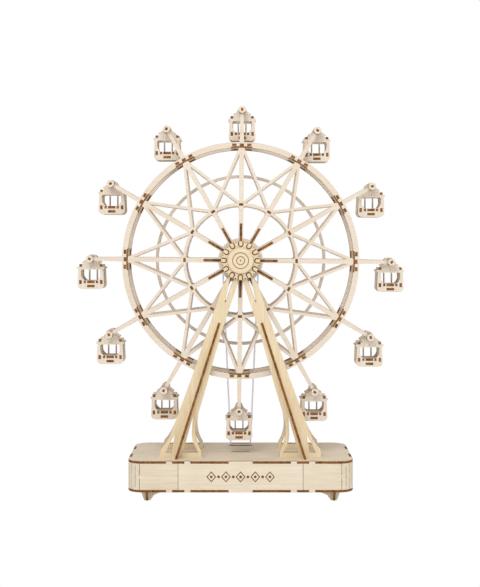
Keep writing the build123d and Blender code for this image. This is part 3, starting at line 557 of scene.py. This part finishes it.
# %% Belt object
path_mesh = bpy.data.meshes.new("belt_path")
belt_edges = [(count, (count + 1) % len(belt_points)) for count in range(len(belt_points))]
path_mesh.from_pydata(belt_points, belt_edges, [])
path_object = bpy.data.objects.new("belt_path", path_mesh)
bpy.context.scene.collection.objects.link(path_object)
modifier = path_object.modifiers.new("cord", "NODES")
modifier.node_group = cord_tree()
sizes = {"Cord radius": cord_radius, "Sides": CORD_SIDES}
for item in modifier.node_group.interface.items_tree:
    if item.in_out == "INPUT" and item.name in sizes:
        modifier[item.identifier] = sizes[item.name]
bpy.context.view_layer.update()
evaluated = path_object.evaluated_get(bpy.context.evaluated_depsgraph_get())
belt_mesh = bpy.data.meshes.new_from_object(evaluated)
belt_mesh.name = "elastic_belt"
elastic_belt = bpy.data.objects.new("elastic_belt", belt_mesh)
bpy.context.scene.collection.objects.link(elastic_belt)
bpy.data.objects.remove(path_object)
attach(elastic_belt, "stand")
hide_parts("drive_belt")
print("belt", len(belt_mesh.polygons), "faces,", len(belt_mesh.materials), "material")

# %% [markdown]
# ## Floor and backdrop
#
# The photograph has a plain white ground without a shadow. The floor is a pale sheet that throws light up
# at the toy, but the camera sees it as pure white.


# %% Floor
WHITE = (1.0, 1.0, 1.0, 1.0)
FLOOR_SIZE = 6.0


def white_ground():
    material, tree = new_material("white_paper_ground")
    rays = add_node(tree, "ShaderNodeLightPath")
    seen = calculate(tree, "MAXIMUM", rays.outputs["Is Camera Ray"], rays.outputs["Is Glossy Ray"])
    seen = calculate(tree, "MAXIMUM", seen, rays.outputs["Is Transmission Ray"])
    paper = add_node(tree, "ShaderNodeBsdfDiffuse", {"Color": linear("#f2f1ef")})
    glow = add_node(tree, "ShaderNodeEmission", {"Color": WHITE, "Strength": 1.0})
    mixed = add_node(tree, "ShaderNodeMixShader")
    tree.links.new(seen, mixed.inputs[0])
    tree.links.new(paper.outputs[0], mixed.inputs[1])
    tree.links.new(glow.outputs[0], mixed.inputs[2])
    output = add_node(tree, "ShaderNodeOutputMaterial")
    tree.links.new(mixed.outputs[0], output.inputs["Surface"])
    return material


bpy.ops.mesh.primitive_plane_add(size=FLOOR_SIZE, location=(0.0, 0.0, 0.0))
floor = bpy.context.object
floor.name = "white_floor"
floor.data.materials.append(white_ground())

# %% [markdown]
# ## Light
#
# Soft studio light: an even white world, a large lamp above, in front and to the left, and a weaker one
# from the right.

# %% World and lamps
AMBIENT = 0.62
TOY_MIDDLE = (0, 0, 0.15)
world = bpy.data.worlds.new("studio")
bpy.context.scene.world = world
world.use_nodes = True
world_tree = world.node_tree
world_tree.nodes.clear()
rays = add_node(world_tree, "ShaderNodeLightPath")
ambient = add_node(world_tree, "ShaderNodeBackground", {"Color": WHITE, "Strength": AMBIENT})
backdrop = add_node(world_tree, "ShaderNodeBackground", {"Color": WHITE, "Strength": 1.0})
seen = calculate(world_tree, "MAXIMUM", rays.outputs["Is Camera Ray"], rays.outputs["Is Transmission Ray"])
choice = add_node(world_tree, "ShaderNodeMixShader")
world_tree.links.new(seen, choice.inputs[0])
world_tree.links.new(ambient.outputs[0], choice.inputs[1])
world_tree.links.new(backdrop.outputs[0], choice.inputs[2])
world_output = add_node(world_tree, "ShaderNodeOutputWorld")
world_tree.links.new(choice.outputs[0], world_output.inputs["Surface"])


def soft_lamp(name, place, target, size, power):
    data = bpy.data.lights.new(name, "AREA")
    data.shape = "SQUARE"
    data.size = size
    data.energy = power
    lamp = bpy.data.objects.new(name, data)
    lamp.location = place
    lamp.rotation_euler = (Vector(target) - Vector(place)).to_track_quat("-Z", "Y").to_euler()
    bpy.context.scene.collection.objects.link(lamp)


soft_lamp("top_front_softbox", (-0.35, -0.9, 1.1), TOY_MIDDLE, 0.9, 9.0)
soft_lamp("right_fill", (0.9, -0.8, 0.5), TOY_MIDDLE, 0.8, 3.0)

# %% [markdown]
# ## Camera
#
# The photograph was taken level, from straight in front and a little above the hub, so the top of the
# base is just seen. The lens shift keeps the camera level and frames the toy lower in the picture.

# %% Camera
PICTURE = (480, 587)
FOCAL_PIXELS = 1038.7
DISTANCE = 0.850  # from the base's front edge
EYE_HEIGHT = 0.211
EYE_SIDE = -0.0005
HORIZON = 245.0  # picture row at the camera's height
SENSOR = 36.0

camera_data = bpy.data.cameras.new("camera")
camera_data.sensor_fit = "AUTO"
camera_data.sensor_width = SENSOR
camera_data.lens = FOCAL_PIXELS / max(PICTURE) * SENSOR
camera_data.shift_y = (HORIZON - PICTURE[1] / 2) / max(PICTURE)
camera = bpy.data.objects.new("camera", camera_data)
camera.location = (EYE_SIDE, base_low[1] - DISTANCE, EYE_HEIGHT)
camera.rotation_euler = (math.radians(90), 0, 0)
bpy.context.scene.collection.objects.link(camera)
bpy.context.scene.camera = camera
bpy.context.scene.view_settings.view_transform = "Standard"
print("camera", [round(v, 4) for v in camera.location], "lens", round(camera_data.lens, 2))
